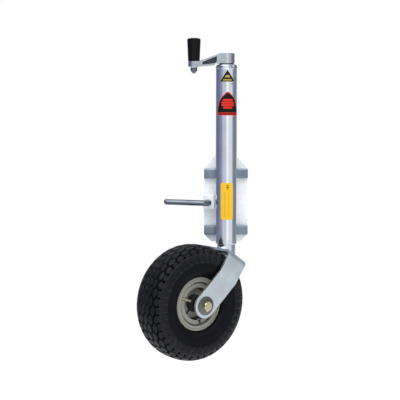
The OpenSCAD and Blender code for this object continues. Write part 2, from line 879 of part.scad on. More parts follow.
module tyre() {
    bead_r = seat_r + 0.2;
    height = (tyre_r - bead_r) / 2;
    color(black) difference() {
        on_axle() rotate_extrude() difference() {
            polygon(bulge(bead_r + height, tyre_w / 2, height, 2.8));
            polygon(bulge(bead_r + height - 2, tyre_w / 2 - 6.5, height - 10, 2.4));
            translate([0, -16]) square([bead_r + 12, 32]);
            for (side = [-1, 1]) translate([0, side * (rim_half + 15 - flange_t) - 15]) square([rim_r + 0.2, 30]);
        }
        on_valve(-6) cylinder(r = valve_foot_r + 0.3, h = 20);
    }
}

module air_tube() {
    bead_r = seat_r + 0.2;
    height = (tyre_r - bead_r) / 2;
    color([0.15, 0.15, 0.16]) on_axle() rotate_extrude() difference() {
        polygon(bulge(bead_r + height - 2, tyre_w / 2 - 7, height - 10.5, 2.4));
        polygon(bulge(bead_r + height - 2, tyre_w / 2 - 9, height - 12.5, 2.4));
    }
}

// Places children on the valve's axis, in the valve slot's frame, with Z pointing in towards the hub
module along_valve(distance) {
    translate([valve_root_r, 0, valve_root_w]) rotate([0, valve_lean - 90, 0]) translate([0, 0, distance]) children();
}

module on_valve(distance) {
    on_axle() at_valve() along_valve(distance) children();
}

module valve_stem() {
    color([0.8, 0.8, 0.78]) on_valve(0) union() {
        cylinder(r = valve_r, h = valve_len);
        cylinder(r = valve_foot_r, h = 2);
    }
}

module valve_cap() {
    color([0.8, 0.8, 0.78]) on_valve(valve_len) cylinder(r = valve_r + 0.4, h = 4);
}

mount_plate();
lock_bushes();
pivot_spacer();
pivot_stud();
pivot_wear_washer();
pivot_washer();
pivot_nut();
swing_plate();
upper_bar();
lower_bar();
outer_tube();
top_housing();
top_bush();
thrust_race_upper();
thrust_balls();
boss_washer();
plunger_housing();
plunger_spring();
hazard_label();
panel_label();
care_label();
plunger_collar();
lock_pin();
pin_circlip();
spindle();
spindle_collar();
collar_pin();
thrust_race_lower();
crank_arm();
crank_pin();
grip_bolt();
grip_washer();
grip_nut();
crank_grip();
grip_cap();
lift_nut();
nut_circlip();
inner_tube();
head_bush();
fork();
axle_bolt();
axle_washers();
axle_nut();
axle_sleeve();
axle_spacers();
bearing_inner_rings();
rim_near_half();
rim_far_half();
rim_screws();
bearing_outer_rings();
bearing_balls();
hub_caps();
tyre();
air_tube();
valve_stem();
valve_cap();
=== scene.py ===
import json
import math

import bmesh
import bpy
from mathutils import Matrix, Vector


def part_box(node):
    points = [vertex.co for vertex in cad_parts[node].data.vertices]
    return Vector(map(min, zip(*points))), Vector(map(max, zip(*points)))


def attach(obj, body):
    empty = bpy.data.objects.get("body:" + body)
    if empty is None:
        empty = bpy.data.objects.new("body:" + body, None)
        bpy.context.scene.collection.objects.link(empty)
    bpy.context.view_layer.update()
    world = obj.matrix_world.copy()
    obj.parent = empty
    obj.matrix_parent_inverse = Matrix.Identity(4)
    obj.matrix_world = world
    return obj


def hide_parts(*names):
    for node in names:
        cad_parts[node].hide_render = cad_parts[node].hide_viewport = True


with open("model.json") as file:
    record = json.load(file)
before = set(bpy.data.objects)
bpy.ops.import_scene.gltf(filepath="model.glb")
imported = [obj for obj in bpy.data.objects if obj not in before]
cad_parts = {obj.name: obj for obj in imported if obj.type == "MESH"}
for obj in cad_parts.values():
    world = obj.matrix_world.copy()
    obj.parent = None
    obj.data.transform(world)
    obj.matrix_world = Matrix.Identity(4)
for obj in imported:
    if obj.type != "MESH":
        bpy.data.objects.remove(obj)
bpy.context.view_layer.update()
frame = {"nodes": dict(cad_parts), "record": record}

MM = 0.001
RECORD = frame["record"]
JOINTS = {j["name"]: j for j in RECORD["behaviour"]["joints"]}
BODY = {n: b for b, nodes in RECORD["behaviour"]["bodies"].items() for n in nodes}
SLOT = {s["node"]: s["material_slot"] for s in RECORD["subparts"]}


# ---------- sizes from the frame, in millimetres ----------

def box_mm(node):
    lo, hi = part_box(node)
    return lo / MM, hi / MM


def middle(node):
    lo, hi = box_mm(node)
    return (lo + hi) / 2


TUBE_LO, TUBE_HI = box_mm("outer_tube")
TUBE_R = (TUBE_HI.x - TUBE_LO.x) / 2
TUBE_Y = (TUBE_LO.y + TUBE_HI.y) / 2
TUBE_WALL = 2.9
WHEEL = Vector(JOINTS["wheel_spin"]["pos_m"]) / MM
AXLE_DIR = Vector(JOINTS["wheel_spin"]["axis"])
TRAIL_DIR = Vector((AXLE_DIR.y, -AXLE_DIR.x, 0))
TRAIL = (WHEEL - Vector((0, TUBE_Y, WHEEL.z))).length
# The radius and half the width of the tyre and of the rim, and the radius of the tyre's seat
TYRE_R = (box_mm("tyre")[1].z - box_mm("tyre")[0].z) / 2
TYRE_HALF = 44.5
RIM_R = (box_mm("rim_near_half")[1].z - box_mm("rim_near_half")[0].z) / 2
RIM_HALF = 30
SEAT_R = 51.2
# The recess in the rim's face, where painted shade goes: its inner and outer radius, and how far out from
# the middle it reaches
RECESS_IN = 19
RECESS_OUT = 36.5
RECESS_TOP = 29.3
# The fork's legs, inside and outside, from the wheel's middle; its bar's thickness and half its width
LEG_IN = 48
LEG_OUT = 54
BAR_THICK = LEG_OUT - LEG_IN
BAR_HALF = 27
# The lean of the fork above the knees, and places measured from the axle, along and across that lean
LEG_LEAN = math.radians(35)
CROWN_HEIGHT = 137
CROWN_SHIFT = -19.4
KNEE_HEIGHT = 82
# The outside radius of the bends beside the crown
BEND_R = 12


def frame_at(origin, x, y, z):
    m = Matrix((x, y, z)).transposed().to_4x4()
    m.translation = origin
    return m


# The castor's frame: X back along the trail, Y along the axle towards the near side
CASTOR = frame_at(Vector((0, TUBE_Y, 0)), TRAIL_DIR, AXLE_DIR, Vector((0, 0, 1)))
# The wheel's frame: Z along the axle towards the near side, X back along the trail
AXLE = frame_at(WHEEL, TRAIL_DIR, AXLE_DIR.cross(TRAIL_DIR), AXLE_DIR)
JACK = Matrix.Translation((0, TUBE_Y, 0))
# Turns Z to point out of the bracket's front, along -Y
FRONT = Matrix.Rotation(math.radians(90), 4, "X")


# ---------- materials ----------

def start_material(name):
    material = bpy.data.materials.new(name)
    material.use_nodes = True
    tree = material.node_tree
    return material, tree, tree.nodes["Principled BSDF"]


def coordinates(tree, stretch=(1, 1, 1)):
    source = tree.nodes.new("ShaderNodeTexCoord")
    mapping = tree.nodes.new("ShaderNodeMapping")
    mapping.inputs["Scale"].default_value = stretch
    tree.links.new(source.outputs["Object"], mapping.inputs["Vector"])
    return mapping.outputs["Vector"]


def noise(tree, scale, detail=4, rough=0.55, stretch=(1, 1, 1)):
    node = tree.nodes.new("ShaderNodeTexNoise")
    node.inputs["Scale"].default_value = scale
    node.inputs["Detail"].default_value = detail
    node.inputs["Roughness"].default_value = rough
    tree.links.new(coordinates(tree, stretch), node.inputs["Vector"])
    return node.outputs["Fac"]


def ramp(tree, factor, stops):
    node = tree.nodes.new("ShaderNodeValToRGB")
    elements = node.color_ramp.elements
    while len(elements) < len(stops):
        elements.new(0.5)
    for element, (place, colour) in zip(elements, stops):
        element.position = place
        element.color = (*colour, 1)
    tree.links.new(factor, node.inputs["Fac"])
    return node.outputs["Color"]


def mix(tree, factor, a, b, mode="MIX"):
    node = tree.nodes.new("ShaderNodeMix")
    node.data_type = "RGBA"
    node.blend_type = mode
    if isinstance(factor, float):
        node.inputs[0].default_value = factor
    else:
        tree.links.new(factor, node.inputs[0])
    for value, socket in ((a, node.inputs[6]), (b, node.inputs[7])):
        if isinstance(value, tuple):
            socket.default_value = (*value, 1)
        else:
            tree.links.new(value, socket)
    return node.outputs[2]


def scaled(tree, factor, low, high):
    node = tree.nodes.new("ShaderNodeMapRange")
    node.inputs["To Min"].default_value = low
    node.inputs["To Max"].default_value = high
    node.inputs["From Min"].default_value = 0.25
    node.inputs["From Max"].default_value = 0.75
    tree.links.new(factor, node.inputs["Value"])
    return node.outputs["Result"]


def bump(tree, bsdf, layers):
    normal = None
    for height, strength, distance in layers:
        node = tree.nodes.new("ShaderNodeBump")
        node.inputs["Strength"].default_value = strength
        node.inputs["Distance"].default_value = distance * MM
        tree.links.new(height, node.inputs["Height"])
        if normal:
            tree.links.new(normal, node.inputs["Normal"])
        normal = node.outputs["Normal"]
    tree.links.new(normal, bsdf.inputs["Normal"])


def metal(name, light, dark, rough, drawn=(1, 1, 1), grain=0.03, pits=0.0, tint=0.6, metallic=1.0):
    """Bare or plated metal: cloudy tone, faint passivation tints, drawing lines and fine grain.

    The drawing lines run along the axis that drawn shrinks.
    """
    material, tree, bsdf = start_material(name)
    bsdf.inputs["Metallic"].default_value = metallic
    clouds = noise(tree, 22, 5, 0.6)
    lines = noise(tree, 260, 3, 0.5, drawn)
    tone = ramp(tree, clouds, [(0.3, dark), (0.7, light)])
    streaks = ramp(tree, lines, [(0.3, (0.8, 0.81, 0.82)), (0.7, (1, 1, 1))])
    tints = ramp(tree, noise(tree, 16, 2),
                 [(0.38, (0.94, 1.0, 0.95)), (0.5, (0.96, 0.97, 1.0)), (0.62, (1.0, 0.95, 0.97))])
    tone = mix(tree, tint, tone, tints, "MULTIPLY")
    tree.links.new(mix(tree, 0.5, tone, streaks, "MULTIPLY"), bsdf.inputs["Base Color"])
    tree.links.new(scaled(tree, noise(tree, 70, 4), rough[0], rough[1]), bsdf.inputs["Roughness"])
    layers = [(lines, 0.25, grain), (noise(tree, 900, 2), 0.15, grain)]
    if pits:
        layers.append((noise(tree, 160, 4, 0.65), 0.5, pits))
    bump(tree, bsdf, layers)
    return material


def moulded(name, light, dark, rough, grain, scale=700, specular=0.35):
    """Moulded plastic or rubber: slight tone changes, fine moulded grain."""
    material, tree, bsdf = start_material(name)
    bsdf.inputs["Specular IOR Level"].default_value = specular
    tone = ramp(tree, noise(tree, 30, 6, 0.6), [(0.3, dark), (0.7, light)])
    specks = ramp(tree, noise(tree, 420, 3, 0.7), [(0.35, (0.86, 0.86, 0.86)), (0.6, (1, 1, 1))])
    tree.links.new(mix(tree, 0.7, tone, specks, "MULTIPLY"), bsdf.inputs["Base Color"])
    tree.links.new(scaled(tree, noise(tree, 120, 4), rough[0], rough[1]), bsdf.inputs["Roughness"])
    bump(tree, bsdf, [(noise(tree, scale, 3, 0.6), 0.3, grain), (noise(tree, 45, 3), 0.12, grain * 3)])
    return material


def tyre_rubber(name, specular, dusty):
    """Tyre rubber: near black, a grey bloom in clouds, a little dust, and fine moulding grain."""
    material, tree, bsdf = start_material(name)
    tone = ramp(tree, noise(tree, 16, 6, 0.65),
                [(0.3, (0.003, 0.003, 0.0042)), (0.75, (0.007, 0.007, 0.0095))])
    dust = ramp(tree, noise(tree, 300, 5, 0.75), [(0.45, (0, 0, 0)), (0.8, (1, 1, 1))])
    dusted = mix(tree, scaled(tree, dust, 0.0, dusty), tone, (0.026, 0.026, 0.023))
    tree.links.new(dusted, bsdf.inputs["Base Color"])
    tree.links.new(scaled(tree, noise(tree, 60, 5), 0.38, 0.56), bsdf.inputs["Roughness"])
    bsdf.inputs["Specular IOR Level"].default_value = specular
    bump(tree, bsdf, [(noise(tree, 850, 3, 0.6), 0.35, 0.05), (noise(tree, 90, 3), 0.2, 0.12)])
    return material


def printed(name, colour, dark):
    """Printed film: clean colour, faint ink mottling, little gloss."""
    material, tree, bsdf = start_material(name)
    tree.links.new(ramp(tree, noise(tree, 500, 4), [(0.3, dark), (0.6, colour)]), bsdf.inputs["Base Color"])
    tree.links.new(scaled(tree, noise(tree, 90, 3), 0.28, 0.42), bsdf.inputs["Roughness"])
    bsdf.inputs["Specular IOR Level"].default_value = 0.1
    bump(tree, bsdf, [(noise(tree, 350, 3), 0.2, 0.02)])
    return material


MATERIALS = {
    "zinc_plate": metal("zinc_plate", (1.0, 1.0, 1.0), (0.95, 0.96, 0.97), (0.24, 0.34),
                        tint=0.4, metallic=0.15),
    "zinc_fork": metal("zinc_fork", (0.84, 0.89, 0.90), (0.74, 0.79, 0.82), (0.30, 0.42)),
    # Zinc made darker and bluer than the plate: painted shade and a painted bluish reflection for the
    # saddle bars
    "zinc_bar_painted_shade": metal("zinc_bar_painted_shade", (0.27, 0.31, 0.38), (0.19, 0.22, 0.28), (0.26, 0.38)),
    "zinc_rod": metal("zinc_rod", (0.19, 0.21, 0.24), (0.12, 0.14, 0.17), (0.10, 0.18), (0.02, 1, 1)),
    "zinc_tube": metal("zinc_tube", (0.88, 0.89, 0.90), (0.80, 0.82, 0.85), (0.10, 0.18),
                       (1, 1, 0.02), 0.02),
    "zinc_cap": metal("zinc_cap", (0.46, 0.49, 0.56), (0.38, 0.41, 0.48), (0.2, 0.3), grain=0.02),
    "zinc_weld": metal("zinc_weld", (0.60, 0.70, 0.80), (0.36, 0.44, 0.55), (0.2, 0.35), pits=0.15),
    "cast_grey": metal("cast_grey", (0.56, 0.57, 0.59), (0.46, 0.47, 0.50), (0.18, 0.28),
                       grain=0.02, pits=0.06),
    # Painted shade for the floors of the crank arm's side pockets
    "arm_pocket_painted_shade": metal("arm_pocket_painted_shade", (0.06, 0.065, 0.085), (0.03, 0.034, 0.05), (0.35, 0.5), pits=0.2),
    "steel": metal("steel", (0.55, 0.56, 0.58), (0.40, 0.41, 0.43), (0.25, 0.38), (1, 1, 0.05)),
    "yellow_zinc": metal("yellow_zinc", (0.88, 0.80, 0.55), (0.72, 0.62, 0.38), (0.2, 0.32)),
    "washer_grey": metal("washer_grey", (0.22, 0.22, 0.20), (0.14, 0.14, 0.125), (0.36, 0.48)),
    "bronze": metal("bronze", (0.70, 0.48, 0.24), (0.50, 0.33, 0.16), (0.3, 0.42)),
    "black_plastic": moulded("black_plastic", (0.004, 0.004, 0.0045), (0.002, 0.002, 0.0025),
                             (0.34, 0.46), 0.05, specular=0.13),
    "rim_plastic": moulded("rim_plastic", (0.32, 0.31, 0.268), (0.27, 0.26, 0.225), (0.38, 0.5), 0.04),
    # Painted shade for the recesses in the rim's faces
    "rim_recess_painted_shade": moulded("rim_recess_painted_shade", (0.034, 0.033, 0.029), (0.022, 0.0215, 0.019), (0.45, 0.6),
                          0.05, specular=0.2),
    "valve_brass": metal("valve_brass", (0.42, 0.39, 0.30), (0.30, 0.28, 0.21), (0.3, 0.4)),
    "tyre_rubber": tyre_rubber("tyre_rubber", 0.18, 0.22),
    "tyre_side": tyre_rubber("tyre_side", 0.08, 0.08),
    # Painted highlight on the tyre's thin side ring
    "tyre_ring_painted_highlight": moulded("tyre_ring_painted_highlight", (0.050, 0.050, 0.044), (0.028, 0.028, 0.025), (0.4, 0.5), 0.03),
    # Painted shade on the floors of the tread grooves
    "tyre_groove_painted_shade": moulded("tyre_groove_painted_shade", (0.003, 0.003, 0.004), (0.0015, 0.0015, 0.002),
                           (0.7, 0.85), 0.05, specular=0.08),
    "tube_rubber": moulded("tube_rubber", (0.03, 0.03, 0.03), (0.015, 0.015, 0.015), (0.5, 0.65), 0.05),
    "label_yellow": printed("label_yellow", (0.84, 0.50, 0.035), (0.78, 0.45, 0.02)),
    "label_ochre": printed("label_ochre", (0.42, 0.32, 0.05), (0.32, 0.24, 0.04)),
    "label_red": printed("label_red", (0.72, 0.035, 0.02), (0.60, 0.025, 0.015)),
    "label_maroon": printed("label_maroon", (0.20, 0.012, 0.01), (0.15, 0.01, 0.008)),
    "label_black": printed("label_black", (0.010, 0.009, 0.010), (0.006, 0.006, 0.007)),
    "label_ink": printed("label_ink", (0.16, 0.08, 0.02), (0.10, 0.05, 0.015)),
}

for node_name, cad in frame["nodes"].items():
    cad.data.materials.clear()
    cad.data.materials.append(MATERIALS[SLOT[node_name]])
    cad.data.shade_smooth()


# ---------- mesh helpers ----------

def weighted(obj):
    """Turns the corner normals towards the larger faces, so that flats stay flat beside rounded edges."""
    modifier = obj.modifiers.new("weighted", "WEIGHTED_NORMAL")
    modifier.keep_sharp = True
    graph = bpy.context.evaluated_depsgraph_get()
    mesh = bpy.data.meshes.new_from_object(obj.evaluated_get(graph))
    obj.modifiers.clear()
    obj.data = mesh


def declare(obj, node, material=None, nodes=None):
    """Rides obj on its node's body, and lets it stand for that node, or for the nodes named."""
    if node != "tyre":
        weighted(obj)
    obj.data.materials.clear()
    obj.data.materials.append(MATERIALS[material or SLOT[node]])
    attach(obj, BODY[node])
    for n in [node] if nodes is None else nodes:
        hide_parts(n)
    return obj


def object_from(name, mesh, sharp=35):
    mesh.shade_smooth()
    mesh.set_sharp_from_angle(angle=math.radians(sharp))
    obj = bpy.data.objects.new(name, mesh)
    bpy.context.scene.collection.objects.link(obj)
    return obj


def object_of(name, points, faces, at=Matrix.Identity(4), sharp=35):
    """A mesh object from points in millimetres, placed by the matrix at."""
    mesh = bpy.data.meshes.new(name)
    mesh.from_pydata([(at @ Vector(p)) * MM for p in points], [], faces)
    work = bmesh.new()
    work.from_mesh(mesh)
    bmesh.ops.recalc_face_normals(work, faces=work.faces)
    work.to_mesh(mesh)
    work.free()
    return object_from(name, mesh, sharp)


def grid_faces(rows, columns, close_rows=False, close_columns=False):
    faces = []
    for i in range(rows if close_rows else rows - 1):
        for j in range(columns if close_columns else columns - 1):
            a, b = i * columns, (i + 1) % rows * columns
            k = (j + 1) % columns
            faces.append((a + j, a + k, b + k, b + j))
    return faces


def applied(obj, *modifiers):
    """Adds modifiers, given as (type, settings), and applies them."""
    for kind, settings in modifiers:
        modifier = obj.modifiers.new(kind, kind)
        for key, value in settings.items():
            setattr(modifier, key, value)
    graph = bpy.context.evaluated_depsgraph_get()
    mesh = bpy.data.meshes.new_from_object(obj.evaluated_get(graph))
    obj.modifiers.clear()
    obj.data = mesh
    mesh.shade_smooth()
    mesh.set_sharp_from_angle(angle=math.radians(35))
    return obj


def bevelled(obj, width, segments=3, angle=30):
    settings = {"width": width * MM, "segments": segments, "limit_method": "ANGLE",
                "angle_limit": math.radians(angle), "harden_normals": False}
    return applied(obj, ("BEVEL", settings))


def copy_of(node):
    """A clean copy of a CAD node: shared corners joined, flat faces whole."""
    mesh = frame["nodes"][node].data.copy()
    work = bmesh.new()
    work.from_mesh(mesh)
    bmesh.ops.remove_doubles(work, verts=work.verts, dist=0.002 * MM)
    bmesh.ops.dissolve_limit(work, angle_limit=math.radians(0.4), verts=work.verts, edges=work.edges)
    work.to_mesh(mesh)
    work.free()
    return object_from(node + "_piece", mesh)


def softened(node, width, segments=3, material=None):
    """The CAD node with its edges rounded."""
    return declare(bevelled(copy_of(node), width, segments), node, material)


def rounded(points, radius, steps=4, closed=True):
    """Rounds the corners of a line of 2D points."""
    out = []
    count = len(points)
    for i, p in enumerate(points):
        if not closed and i in (0, count - 1):
            out.append(tuple(p))
            continue
        here = Vector(p)
        before, after = Vector(points[i - 1]) - here, Vector(points[(i + 1) % count]) - here
        reach = min(radius, before.length * 0.45, after.length * 0.45)
        start, end = here + before.normalized() * reach, here + after.normalized() * reach
        for k in range(steps + 1):
            t = k / steps
            out.append(tuple(start * (1 - t) ** 2 + here * 2 * t * (1 - t) + end * t * t))
    return out


def lathe(name, profile, at, closed=True, segments=96, shift=None, sharp=35):
    """Turns (radius, height) points round Z. A closed profile is a ring; an open one ends on the axis."""
    points = []
    for i in range(segments):
        a = 2 * math.pi * i / segments
        for r, h in profile:
            x, y = r * math.cos(a), r * math.sin(a)
            points.append(shift(x, y, h) if shift else (x, y, h))
    return object_of(name, points, grid_faces(segments, len(profile), True, closed), at, sharp)


def welded_ends(obj):
    """Joins the points that an open profile has on its axis."""
    work = bmesh.new()
    work.from_mesh(obj.data)
    bmesh.ops.remove_doubles(work, verts=work.verts, dist=0.001 * MM)
    bmesh.ops.recalc_face_normals(work, faces=work.faces)
    work.to_mesh(obj.data)
    work.free()
    obj.data.shade_smooth()
    obj.data.set_sharp_from_angle(angle=math.radians(35))
    return obj


def sweep(name, path, radius, at=Matrix.Identity(4), sides=24, closed=False, ends=True, up=(0, 0, 1)):
    """A round bar along path. radius may be a number or a function of the distance along the path."""
    size = radius if callable(radius) else lambda s: radius
    path = [Vector(p) for p in path]
    count = len(path)
    travelled, rings = 0.0, []
    for i, p in enumerate(path):
        before = path[i - 1] if closed or i else p
        after = path[(i + 1) % count] if closed or i < count - 1 else p
        along = (after - before).normalized()
        side = along.cross(Vector(up)).normalized()
        lift = side.cross(along)
        if i:
            travelled += (p - path[i - 1]).length
        rings.append((p, along, side, lift, size(travelled)))
    if ends and not closed:
        rings = round_ends(rings)
    points = [p + (side * math.cos(a) + lift * math.sin(a)) * r for p, along, side, lift, r in rings
              for a in (2 * math.pi * k / sides for k in range(sides))]
    faces = grid_faces(len(rings), sides, closed, True)
    if not closed:
        faces += [tuple(range(sides)), tuple(len(points) - 1 - k for k in range(sides))]
    return object_of(name, points, faces, at)


def round_ends(rings, steps=6):
    """Adds a half-round cap of shrinking rings at both ends."""
    def cap(ring, sign):
        p, along, side, lift, r = ring
        angles = [math.pi / 2 * k / steps for k in range(1, steps)] + [math.radians(88)]
        return [(p + along * sign * r * math.sin(a), along, side, lift, r * math.cos(a)) for a in angles]
    return cap(rings[0], -1)[::-1] + rings + cap(rings[-1], 1)


def hex_prism(name, flats, height, at, chamfer=0.16):
    """A hexagon head along Z, its corners turned down to a cone at the outer end."""
    corner = flats / math.sqrt(3)
    points = [(corner * math.cos(a), corner * math.sin(a), z) for z in (0, height)
              for a in (math.radians(60 * k) for k in range(6))]
    faces = [tuple(range(6)), tuple(range(6, 12))]
    faces += [(k, (k + 1) % 6, (k + 1) % 6 + 6, k + 6) for k in range(6)]
    head = object_of(name, points, faces, at)
    top = flats / 2 - 0.2
    drop = corner * chamfer
    outline = [(0, -1), (corner + 1, -1), (corner + 1, height - drop - 0.5), (top, height), (0, height)]
    cone = welded_ends(lathe(name + "_cone", outline, at, closed=False, segments=72))
    applied(head, ("BOOLEAN", {"operation": "INTERSECT", "object": cone, "solver": "EXACT"}))
    bpy.data.objects.remove(cone)
    return bevelled(head, 0.35, 2, 25)


def joined(name, *parts):
    """Joins objects into the first one."""
    work = bmesh.new()
    for part in parts:
        work.from_mesh(part.data)
    mesh = bpy.data.meshes.new(name)
    work.to_mesh(mesh)
    work.free()
    for part in parts:
        bpy.data.objects.remove(part)
    return object_from(name, mesh)


def threaded_rod(name, radius, low, high, pitch, at):
    """A screw thread along Z, with a chamfered end."""
    sides, rows = 48, int((high - low) / pitch * 8)
    depth = pitch * 0.55
    points = []
    for i in range(rows + 1):
        z = low + (high - low) * i / rows
        for k in range(sides):
            turn = (z / pitch - k / sides) % 1
            r = radius - depth * abs(2 * turn - 1) - max(0, z - high + 1.5) * 0.8
            a = 2 * math.pi * k / sides
            points.append((r * math.cos(a), r * math.sin(a), z))
    faces = grid_faces(rows + 1, sides, False, True)
    faces += [tuple(range(sides)), tuple(len(points) - 1 - k for k in range(sides))]
    return object_of(name, points, faces, at, 50)


# ---------- bracket ----------

def bracket():
    """Both plates, the saddle bars, the pivot's parts and the lock's housing."""
    softened("mount_plate", 1.0)
    softened("swing_plate", 0.9)
    # The saddle bars take zinc with painted shade and a painted bluish reflection
    softened("upper_bar", 2.4, 4, "zinc_bar_painted_shade")
    softened("lower_bar", 2.4, 4, "zinc_bar_painted_shade")
    softened("lock_bushes", 0.6)
    softened("pivot_spacer", 0.6)
    softened("pivot_wear_washer", 0.2, 2)
    softened("pivot_washer", 0.4, 2)
    softened("plunger_housing", 2.2, 4)
    softened("plunger_collar", 0.4, 2)
    lo, hi = box_mm("pivot_nut")
    seat = Matrix.Translation((0, hi.y, 0)) @ FRONT
    declare(hex_prism("pivot_nut_piece", hi.z - lo.z, hi.y - lo.y, seat), "pivot_nut")
    stud_lo, stud_hi = box_mm("pivot_stud")
    radius = (stud_hi.x - stud_lo.x) / 2
    shank_end = box_mm("pivot_washer")[1].y
    outline = [(0, 0), (radius - 0.8, 0), (radius, 0.8), (radius, -shank_end), (0, -shank_end)]
    shank = welded_ends(lathe("pivot_shank", outline, FRONT, closed=False, segments=64))
    thread = threaded_rod("pivot_thread", radius - 2, -shank_end, -stud_lo.y, 2, FRONT)
    declare(joined("pivot_stud_piece", shank, thread), "pivot_stud")


def bar_welds():
    """Weld beads where the saddle bars meet the tube."""
    for node in ("upper_bar", "lower_bar"):
        lo, hi = box_mm(node)
        reach = math.sqrt(TUBE_R ** 2 - (TUBE_Y - lo.y) ** 2) + 0.6
        for side in (-1, 1):
            z_points = [lo.z + 1.5 + (hi.z - lo.z - 3) * k / 40 for k in range(41)]
            path = [(side * reach, lo.y - 0.2, z) for z in z_points]
            weld = sweep(f"{node}_tube_weld_{side + 1}", path, ripple(1.9, 2.2), sides=12, up=(0, 1, 0))
            declare(weld, node, "zinc_weld", [])


def ripple(radius, pitch, depth=0.12):
    """A weld bead's radius along its length."""
    return lambda s: radius * (1 + depth * math.sin(2 * math.pi * s / pitch))


# ---------- tubes ----------

def outer_tube():
    """The outer tube, with three crimp dents that hold the top housing."""
    crimp_z = TUBE_HI.z - 30.4
    height = TUBE_HI.z - TUBE_LO.z
    rows = [0, 0.4, 0.9]
    rows += [0.9 + (height - 1.8) * k / 200 for k in range(1, 200)]
    rows += [height - 0.9, height - 0.4, height]
    edge = {0: 0.7, 0.4: 0.25, height - 0.4: 0.12, height: 0.4}
    profile = [(TUBE_R - edge.get(h, 0), TUBE_LO.z + h) for h in rows]
    profile += [(TUBE_R - TUBE_WALL, TUBE_HI.z), (TUBE_R - TUBE_WALL, TUBE_LO.z)]

    def crimped(x, y, z):
        dent = 0
        for turn in (60, 180, 300):
            a = math.radians(turn)
            d = math.hypot(x - TUBE_R * math.cos(a), y - TUBE_R * math.sin(a), z - crimp_z)
            dent = max(dent, math.exp(-(d / 3.2) ** 2))
        scale = 1 - 1.5 * dent / TUBE_R
        return (x * scale, y * scale, z)

    declare(lathe("outer_tube_piece", profile, JACK, segments=144, shift=crimped), "outer_tube")


def arc(steps, degrees=90):
    """Angles in radians, in equal steps from the first step up to degrees."""
    return [math.radians(degrees * k / steps) for k in range(1, steps + 1)]


def top_housing():
    """The turned cap on the outer tube, with its bush and washer."""
    corner = 6
    lo, hi = box_mm("top_housing")
    bush_r = (box_mm("top_bush")[1].x - box_mm("top_bush")[0].x) / 2
    skirt = TUBE_R - TUBE_WALL
    profile = [(bush_r, hi.z), (TUBE_R - corner, hi.z)]
    profile += [(TUBE_R + corner * (math.sin(a) - 1), hi.z + corner * (math.cos(a) - 1)) for a in arc(10)]
    profile += [(TUBE_R, TUBE_HI.z + 0.5), (TUBE_R - 0.5, TUBE_HI.z), (skirt, TUBE_HI.z), (skirt, lo.z)]
    profile += [(18, lo.z), (18, box_mm("top_bush")[0].z), (bush_r, box_mm("top_bush")[0].z)]
    declare(lathe("top_housing_piece", profile, JACK, segments=144), "top_housing", "zinc_cap")
    softened("top_bush", 0.5, 2)
    softened("boss_washer", 0.3, 2, "washer_grey")


def inner_tube():
    """The sliding tube, its foot cut to the slope of the fork's crown."""
    lo, hi = box_mm("inner_tube")
    outside, inside = (hi.x - lo.x) / 2, (hi.x - lo.x) / 2 - 3.2
    steps = 24
    profile = [(outside, -1 + k / steps) for k in range(steps)]
    profile += [(outside, 0), (outside, hi.z - 0.6), (outside - 0.6, hi.z), (inside, hi.z)]
    profile += [(inside, -k / steps) for k in range(1, steps + 1)]
    foot = crown_point(0, 0, 0)

    def cut(x, y, z):
        """Heights from -1 to 0 run from the crown's slope up to 60 mm over it."""
        trail_x = x * TRAIL_DIR.x + y * TRAIL_DIR.y
        crown_z = foot.z + (trail_x - foot.x) * math.tan(LEG_LEAN)
        return (x, y, z if z > 0 else crown_z + 60 * (1 + z))

    declare(lathe("inner_tube_piece", profile, JACK, segments=128, shift=cut), "inner_tube", "zinc_tube")


# ---------- fork ----------

UP = Vector((-math.sin(LEG_LEAN), 0, math.cos(LEG_LEAN)))
ACROSS = Vector((math.cos(LEG_LEAN), 0, math.sin(LEG_LEAN)))
AXLE_POINT = Vector((TRAIL, 0, WHEEL.z))


def crown_point(across, along, depth):
    """A point in the castor's frame from its place on the crown's upper face."""
    return AXLE_POINT + UP * (CROWN_HEIGHT - depth) + ACROSS * across + Vector((0, along, 0))


